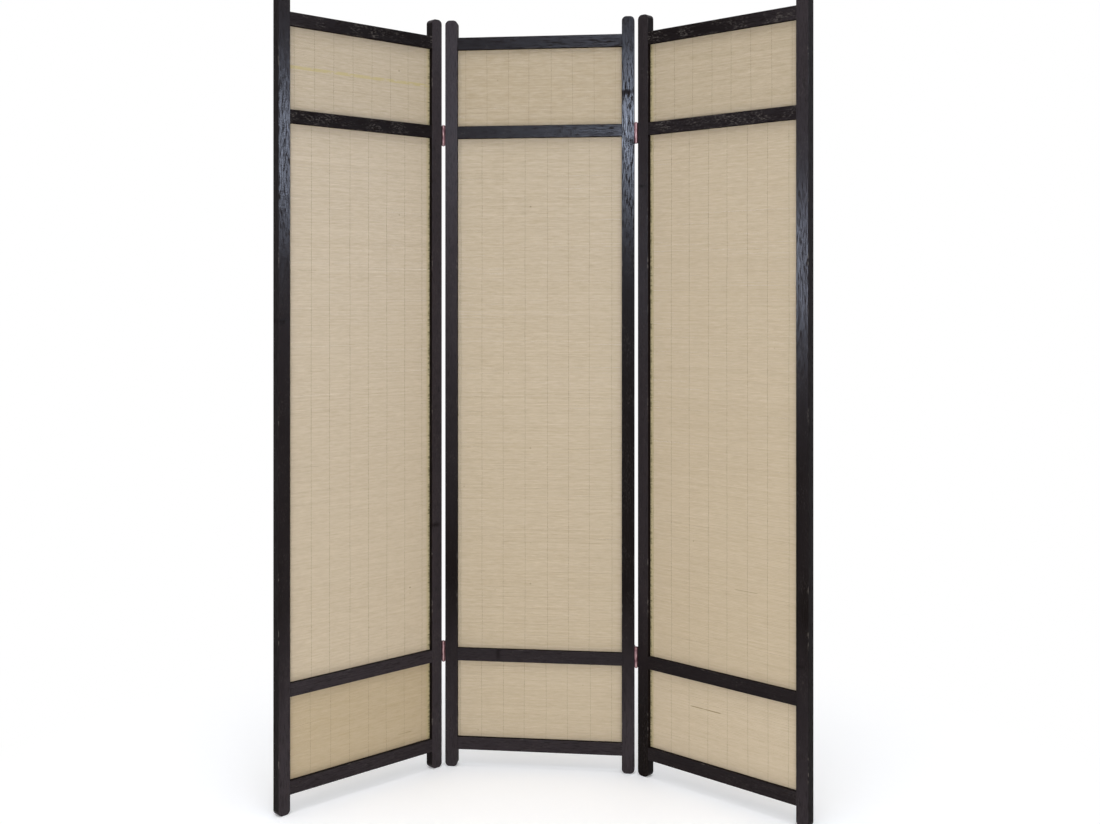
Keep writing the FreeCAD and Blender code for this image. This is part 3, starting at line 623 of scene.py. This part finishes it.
class SCREEN_OT_weave_mats(bpy.types.Operator):
    """Weave the nine mats of split bamboo and cotton thread in place of the plain CAD sheets"""

    bl_idname = "screen.weave_mats"
    bl_label = "Weave bamboo mats"

    def execute(self, context):
        sizes = context.scene.screen_mats
        colours = context.scene.screen_colours
        bamboo = split_bamboo(colours)
        cotton = cotton_thread(colours)
        slats_grow = slat_tree()
        threads_grow = thread_tree()
        seed = sizes.seed
        for panel in PANELS:
            for mat in MATS:
                node = f"{panel}_panel_{mat}_mat"
                size = size_of(f"centre_panel_{mat}_mat")
                corner = Matrix.Translation((0, 0, -size.z / 2))
                place = Matrix.Translation(middle(node)) @ Matrix.Rotation(panel_turn(panel), 4, "Z") @ corner
                count = round(size.z / sizes.slat_pitch)
                shared = {"Slats": count, "Pitch": size.z / count, "Thickness": sizes.slat_thickness,
                          "Seed": seed}
                skin_low, skin_high = SKINNED_SHARES.get(node, (0, 0))
                streak, darkness = DARK_STREAKS.get(node, NO_STREAK)
                slats = grown(f"{node}_slats", slats_grow, {
                    **shared, "Length": size.x, "Corner": sizes.slat_corner, "Wander": sizes.slat_wander,
                    "Bow length": sizes.bow_length, "Shade": MAT_SHADES[panel][mat],
                    "Aged": AGED_SHARES[panel][mat], "Streak": streak, "Darkness": darkness,
                    "Marked end": SHADED_ENDS[panel] * size.x / 2, "Skin from": skin_low * size.z,
                    "Skin to": skin_high * size.z, "Bamboo": bamboo}, place)
                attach(slats, f"{panel}_panel")
                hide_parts(node)
                first = FIRST_THREADS[mat]
                threads = grown(f"{node}_threads", threads_grow, {
                    **shared, "Threads": int((size.x - first) / sizes.thread_spacing) + 1,
                    "First": first - size.x / 2, "Spacing": sizes.thread_spacing,
                    "Diameter": sizes.thread_diameter, "Cotton": cotton}, place)
                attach(threads, f"{panel}_panel")
                seed += 10
        return {"FINISHED"}


def board_place(tree, node, kind):
    """A point in a board's own frame: X is across it, Y is through it and Z is along the grain."""
    lengthwise = 0 if kind == "stile" else math.pi / 2
    here = add(tree, "ShaderNodeTexCoord").outputs["Object"]
    return add(tree, "ShaderNodeMapping", {
        "Vector": here, "Location": middle(node),
        "Rotation": (0, lengthwise, panel_turn(node.split("_panel_")[0]))}, vector_type="TEXTURE")


def stained_pine(colours, node, kind, board):
    """Pine under espresso stain and satin lacquer: near black, with open grain that breaks up the sheen."""
    material, tree = new_material(f"stained_pine_{node}")
    panel, piece = node.split("_panel_")
    rough_board = node in ROUGH_BOARDS
    half_length = max(size_of(f"centre_panel_{piece}")) / 2
    place = board_place(tree, node, kind)
    parts = add(tree, "ShaderNodeSeparateXYZ", (place,)).outputs
    # The number of the board cuts it from another part of the tree.
    cut = add(tree, "ShaderNodeVectorMath", (place, (board, board, board)), operation="ADD")
    grain = {}
    for name, (sizes, detail, span) in GRAIN.items():
        shrunk = add(tree, "ShaderNodeVectorMath", (cut, sizes), operation="DIVIDE")
        pattern = add(tree, "ShaderNodeTexNoise", {"Vector": shrunk, "Scale": 1.0, "Detail": detail})
        grain[name] = add(tree, "ShaderNodeMapRange", (pattern, *span))
    shade = add(tree, "ShaderNodeMath", (grain["patches"], PATCH_SHARES[kind], BOARD_SHADES[panel][piece]),
                operation="MULTIPLY_ADD")
    if kind == "stile":
        # Painted reflection of the white floor in the lacquer, lighter towards the foot.
        foot_share = FOOT_SHARES.get(node, USUAL_FOOT_SHARE)
        foot = add(tree, "ShaderNodeMapRange", (
            parts["Z"], FOOT_START_SHARE * half_length, -half_length, 0.0, foot_share))
        shade = add(tree, "ShaderNodeMath", (shade, foot), operation="ADD")
    # On the two stiles this slope is a painted sheen; on the wings' top rails a lighter outer end.
    if node in SLOPE_SHARES:
        slope = add(tree, "ShaderNodeMapRange", (
            parts["Z"], -half_length, half_length, -SLOPE_SHARES[node], SLOPE_SHARES[node]))
        shade = add(tree, "ShaderNodeMath", (shade, slope), operation="ADD")
    filled = add(tree, "ShaderNodeMath", (grain["pores"], PORE_SHARE), operation="MULTIPLY")
    clustered = add(tree, "ShaderNodeMath", (grain["clusters"], grain["flecks"]), operation="MULTIPLY")
    fleck_share = ROUGH_FLECK_SHARE if rough_board else FLECK_SHARE
    flecks = add(tree, "ShaderNodeMath", (clustered, fleck_share), operation="MULTIPLY")
    # The narrow sides are darkened as painted shade; the scuffs are wear.
    sides, scuffs = shaded_sides_and_worn_edges(tree, place, parts)
    layers = [(shade, colours.stain_light), (filled, colours.stain_dark), (flecks, colours.scuff),
              (sides, colours.stain_dark), (scuffs, colours.scuff)]
    dulled = [(grain["pores"], PORE_ROUGHNESS), (scuffs, DULL_ROUGHNESS), (sides, DULL_ROUGHNESS)]
    if node in KNOT_SHARES:
        dark = knot(tree, place, KNOT_SHARES[node] * half_length)
        layers.append((dark, colours.stain_dark))
        dulled.append((dark, DULL_ROUGHNESS))
    colour = colours.stain_dark
    for share, over in layers:
        colour = add(tree, "ShaderNodeMix", {"Factor": share, "A": colour, "B": over}, data_type="RGBA")
    satin = SATIN_ROUGHNESS[kind] + (DULL_ROUGHNESS if rough_board else 0)
    rough = add(tree, "ShaderNodeMath", (grain["rings"], satin), operation="ADD")
    for part, amount in dulled:
        rough = add(tree, "ShaderNodeMath", (part, amount, rough), operation="MULTIPLY_ADD")
    bump = add(tree, "ShaderNodeBump", {"Height": grain["pores"], "Strength": 0.2, "Distance": PORE_DEPTH},
               invert=True)
    shader = add(tree, "ShaderNodeBsdfPrincipled", {
        "Base Color": colour, "Roughness": rough, "Normal": bump, "Specular IOR Level": LACQUER_SHINE})
    add(tree, "ShaderNodeOutputMaterial", {"Surface": shader})
    return material


def shaded_sides_and_worn_edges(tree, place, parts):
    """The narrow sides of a board, darkened as painted shade, and the rubbed stretches of its long corners."""
    section = size_of("centre_panel_top_rail")
    rim, band = 0.5 * MM, 2.5 * MM
    across = add(tree, "ShaderNodeMath", (parts["X"],), operation="ABSOLUTE")
    through = add(tree, "ShaderNodeMath", (parts["Y"],), operation="ABSOLUTE")
    sides = add(tree, "ShaderNodeMapRange", (across, section.z / 2 - rim, section.z / 2))
    near_side = add(tree, "ShaderNodeMapRange", (across, section.z / 2 - band, section.z / 2))
    near_face = add(tree, "ShaderNodeMapRange", (through, section.y / 2 - band, section.y / 2))
    scuffs = add(tree, "ShaderNodeMath", (near_side, near_face), operation="MULTIPLY")
    for sizes, detail, span in WEAR:
        shrunk = add(tree, "ShaderNodeVectorMath", (place, sizes), operation="DIVIDE")
        pattern = add(tree, "ShaderNodeTexNoise", {"Vector": shrunk, "Scale": 1.0, "Detail": detail})
        worn = add(tree, "ShaderNodeMapRange", (pattern, *span))
        scuffs = add(tree, "ShaderNodeMath", (scuffs, worn), operation="MULTIPLY")
    return sides, scuffs


def knot(tree, place, level):
    """How dark a board is in and around its knot, at a level along the grain."""
    core_sizes, core_offset = (17 * MM, 60 * MM, 5 * MM), -6 * MM
    offset = add(tree, "ShaderNodeVectorMath", (place, (core_offset, 0, level)), operation="SUBTRACT")
    shrunk = add(tree, "ShaderNodeVectorMath", (offset, core_sizes), operation="DIVIDE")
    distance = add(tree, "ShaderNodeVectorMath", (shrunk,), operation="LENGTH").outputs["Value"]
    return add(tree, "ShaderNodeMapRange", (distance, *KNOT_SPAN))


def plain_beech(colours):
    """Turned beech, left bare: pale pinkish brown with short flecks along the dowel."""
    material, tree = new_material("plain_beech")
    place = add(tree, "ShaderNodeTexCoord").outputs["Object"]
    flecks = add(tree, "ShaderNodeTexNoise", {"Vector": place, "Scale": 1 / BEECH_FLECK, "Detail": 2.0})
    shade = add(tree, "ShaderNodeMapRange", (flecks, *BEECH_SPAN))
    colour = add(tree, "ShaderNodeVectorMath", {0: tuple(colours.beech), "Scale": shade}, operation="SCALE")
    shader = add(tree, "ShaderNodeBsdfPrincipled", {"Base Color": colour, "Roughness": 0.6})
    add(tree, "ShaderNodeOutputMaterial", {"Surface": shader})
    return material


class SCREEN_OT_stain_frames(bpy.types.Operator):
    """Stain and lacquer the stiles and rails, each as a board of its own"""

    bl_idname = "screen.stain_frames"
    bl_label = "Stain the frames"

    def execute(self, context):
        boards = [f"{panel}_panel_{piece}" for panel in PANELS for piece in BOARD_SHADES[panel]]
        for number, node in enumerate(boards, start=1):
            kind = node.split("_")[-1]
            pine = stained_pine(context.scene.screen_colours, node, kind, number)
            NODES[node].material_slots[0].material = pine
        return {"FINISHED"}


class SCREEN_OT_bare_dowels(bpy.types.Operator):
    """Leave the dowels between rails and stiles as bare beech"""

    bl_idname = "screen.bare_dowels"
    bl_label = "Bare the dowels"

    def execute(self, context):
        beech = plain_beech(context.scene.screen_colours)
        for panel in PANELS:
            NODES[f"{panel}_panel_dowels"].material_slots[0].material = beech
        return {"FINISHED"}


def aged_copper(colours, name, roughness):
    """Steel plated with copper and left to age: red-brown, with pale copper painted as a highlight in blotches
    on faces that look to the front and back.
    """
    material, tree = new_material(name)
    here = add(tree, "ShaderNodeTexCoord").outputs
    shrunk = add(tree, "ShaderNodeVectorMath", (here["Object"], BLOTCH_SIZES), operation="DIVIDE")
    blotches = add(tree, "ShaderNodeTexNoise", {"Vector": shrunk, "Scale": 1.0, "Detail": 4.0})
    depthwise = add(tree, "ShaderNodeSeparateXYZ", (here["Normal"],)).outputs["Y"]
    facing = add(tree, "ShaderNodeMath", (depthwise,), operation="ABSOLUTE")
    front_facing = add(tree, "ShaderNodeMapRange", (facing, *FRONT_FACING_SPAN))
    bright = add(tree, "ShaderNodeMapRange", (blotches, *BLOTCH_SPAN))
    # Painted highlight: pale copper on faces that look to the front and back.
    rubbed = add(tree, "ShaderNodeMath", (front_facing, bright), operation="MULTIPLY")
    colour = add(tree, "ShaderNodeMix", {"Factor": rubbed, "A": colours.copper_aged, "B": colours.copper},
                 data_type="RGBA")
    rough = add(tree, "ShaderNodeMapRange", (rubbed, 0.0, 1.0, roughness + PATINA_ROUGHNESS, roughness))
    bump = add(tree, "ShaderNodeBump", {"Height": blotches, "Strength": 0.2, "Distance": BLOTCH_DEPTH})
    shader = add(tree, "ShaderNodeBsdfPrincipled", {
        "Base Color": colour, "Roughness": rough, "Normal": bump, "Metallic": 1.0})
    add(tree, "ShaderNodeOutputMaterial", {"Surface": shader})
    return material


class SCREEN_OT_age_hinges(bpy.types.Operator):
    """Give the hinge leaves and links, pins and screws their aged copper plating"""

    bl_idname = "screen.age_hinges"
    bl_label = "Age the hinges"

    def execute(self, context):
        plating = {slot: aged_copper(context.scene.screen_colours, name, roughness)
                   for slot, (name, roughness) in PLATINGS.items()}
        for subpart in frame["record"]["subparts"]:
            if subpart["material_slot"] in plating:
                NODES[subpart["node"]].material_slots[0].material = plating[subpart["material_slot"]]
        return {"FINISHED"}


def white_rays(tree):
    """1 for rays from the camera or off a shiny or clear surface, 0 for the light on the object."""
    path = add(tree, "ShaderNodeLightPath").outputs
    shiny = add(tree, "ShaderNodeMath", (path["Is Camera Ray"], path["Is Glossy Ray"]), operation="MAXIMUM")
    return add(tree, "ShaderNodeMath", (shiny, path["Is Transmission Ray"]), operation="MAXIMUM")


def make_world(studio):
    """Even light for the object, and a white background."""
    world = bpy.data.worlds.new("studio")
    world.use_nodes = True
    tree = world.node_tree
    tree.nodes.clear()
    light = add(tree, "ShaderNodeBackground", {"Color": (1, 1, 1), "Strength": studio.ambient})
    white = add(tree, "ShaderNodeBackground", {"Color": (1, 1, 1), "Strength": 1.0})
    both = add(tree, "ShaderNodeMixShader", (white_rays(tree), light, white))
    add(tree, "ShaderNodeOutputWorld", {"Surface": both})
    bpy.context.scene.world = world


def make_floor():
    """A pale floor that keeps the shadow near the screen and fades to white further out."""
    mesh = bpy.data.meshes.new("floor")
    corners = [(-FLOOR_REACH, -FLOOR_REACH, 0), (FLOOR_REACH, -FLOOR_REACH, 0),
               (FLOOR_REACH, FLOOR_REACH, 0), (-FLOOR_REACH, FLOOR_REACH, 0)]
    mesh.from_pydata(corners, [], [(0, 1, 2, 3)])
    floor = bpy.data.objects.new("floor", mesh)
    bpy.context.scene.collection.objects.link(floor)
    material, tree = new_material("white_floor")
    place = add(tree, "ShaderNodeTexCoord").outputs["Object"]
    distance = add(tree, "ShaderNodeVectorMath", (place,), operation="LENGTH").outputs["Value"]
    far = add(tree, "ShaderNodeMapRange", (distance, *FLOOR_FADE), interpolation_type="SMOOTHSTEP")
    seen = white_rays(tree)
    fade = add(tree, "ShaderNodeMath", (far, seen), operation="MULTIPLY")
    glow_strength = add(tree, "ShaderNodeMath", (seen, FLOOR_GLOW), operation="MULTIPLY")
    paper = add(tree, "ShaderNodeBsdfDiffuse", {"Color": linear(FLOOR_COLOUR)})
    glow = add(tree, "ShaderNodeEmission", {"Color": (1, 1, 1), "Strength": glow_strength})
    pale = add(tree, "ShaderNodeAddShader", (paper, glow))
    white = add(tree, "ShaderNodeEmission", {"Color": (1, 1, 1), "Strength": 1.0})
    both = add(tree, "ShaderNodeMixShader", (fade, pale, white))
    add(tree, "ShaderNodeOutputMaterial", {"Surface": both})
    mesh.materials.append(material)


def make_light(name, place, target, width, height, hex_colour, power):
    """A soft rectangular light that faces a point."""
    lamp = bpy.data.lights.new(name, "AREA")
    lamp.shape = "RECTANGLE"
    lamp.size = width
    lamp.size_y = height
    lamp.energy = power
    lamp.color = linear(hex_colour)
    light = bpy.data.objects.new(name, lamp)
    light.location = place
    light.rotation_euler = (Vector(target) - Vector(place)).to_track_quat("-Z", "Y").to_euler()
    bpy.context.scene.collection.objects.link(light)
    return light


def make_camera():
    """The camera at the photograph's place, level, with the photograph's framing."""
    camera = bpy.data.cameras.new("camera")
    camera.sensor_fit = "HORIZONTAL"
    camera.sensor_width = SENSOR_WIDTH
    camera.lens = SENSOR_WIDTH * FOCAL_PIXELS / PHOTO_WIDTH
    camera.shift_x = (PHOTO_WIDTH / 2 - AHEAD_X) / PHOTO_WIDTH
    camera.shift_y = (AHEAD_Y - PHOTO_HEIGHT / 2) / PHOTO_WIDTH
    holder = bpy.data.objects.new("camera", camera)
    holder.location = CAMERA_PLACE
    holder.rotation_euler = (math.pi / 2, 0, CAMERA_TURN)
    bpy.context.scene.collection.objects.link(holder)
    bpy.context.scene.camera = holder


class SCREEN_OT_set_stage(bpy.types.Operator):
    """Set the pale floor, the soft lights and the camera"""

    bl_idname = "screen.set_stage"
    bl_label = "Set the stage"

    def execute(self, context):
        studio = context.scene.screen_studio
        context.scene.view_settings.view_transform = "Standard"
        make_world(studio)
        make_floor()
        for name, lamp in {**LAMPS, **WINDOWS}.items():
            light = make_light(name, *lamp, getattr(studio, f"{name}_power"))
            light.visible_diffuse = name in LAMPS
            light.visible_glossy = name in WINDOWS
        make_camera()
        return {"FINISHED"}


OPERATORS = (SCREEN_OT_weave_mats, SCREEN_OT_stain_frames, SCREEN_OT_bare_dowels, SCREEN_OT_age_hinges,
             SCREEN_OT_set_stage)
GROUPS = {"screen_mats": MatSizes, "screen_colours": FinishColours, "screen_studio": StudioSettings}


class VIEW3D_PT_folding_screen(bpy.types.Panel):
    """Sizes, colours and steps of the folding screen"""

    bl_label = "Folding screen"
    bl_space_type = "VIEW_3D"
    bl_region_type = "UI"
    bl_category = "Folding screen"

    def draw(self, context):
        for group, kind in GROUPS.items():
            for name in kind.__annotations__:
                self.layout.prop(getattr(context.scene, group), name)
        for operator in OPERATORS:
            self.layout.operator(operator.bl_idname)


CLASSES = (*GROUPS.values(), *OPERATORS, VIEW3D_PT_folding_screen)


def register():
    """Register the classes and hang the settings on the scene."""
    for kind in CLASSES:
        bpy.utils.register_class(kind)
    for group, kind in GROUPS.items():
        setattr(bpy.types.Scene, group, bpy.props.PointerProperty(type=kind))


def unregister():
    """Take the settings and classes away again."""
    for group in GROUPS:
        delattr(bpy.types.Scene, group)
    for kind in reversed(CLASSES):
        bpy.utils.unregister_class(kind)


def main():
    """Dress the screen and set the stage."""
    register()
    bpy.ops.screen.weave_mats()
    bpy.ops.screen.stain_frames()
    bpy.ops.screen.bare_dowels()
    bpy.ops.screen.age_hinges()
    bpy.ops.screen.set_stage()


if __name__ == "__main__":
    main()
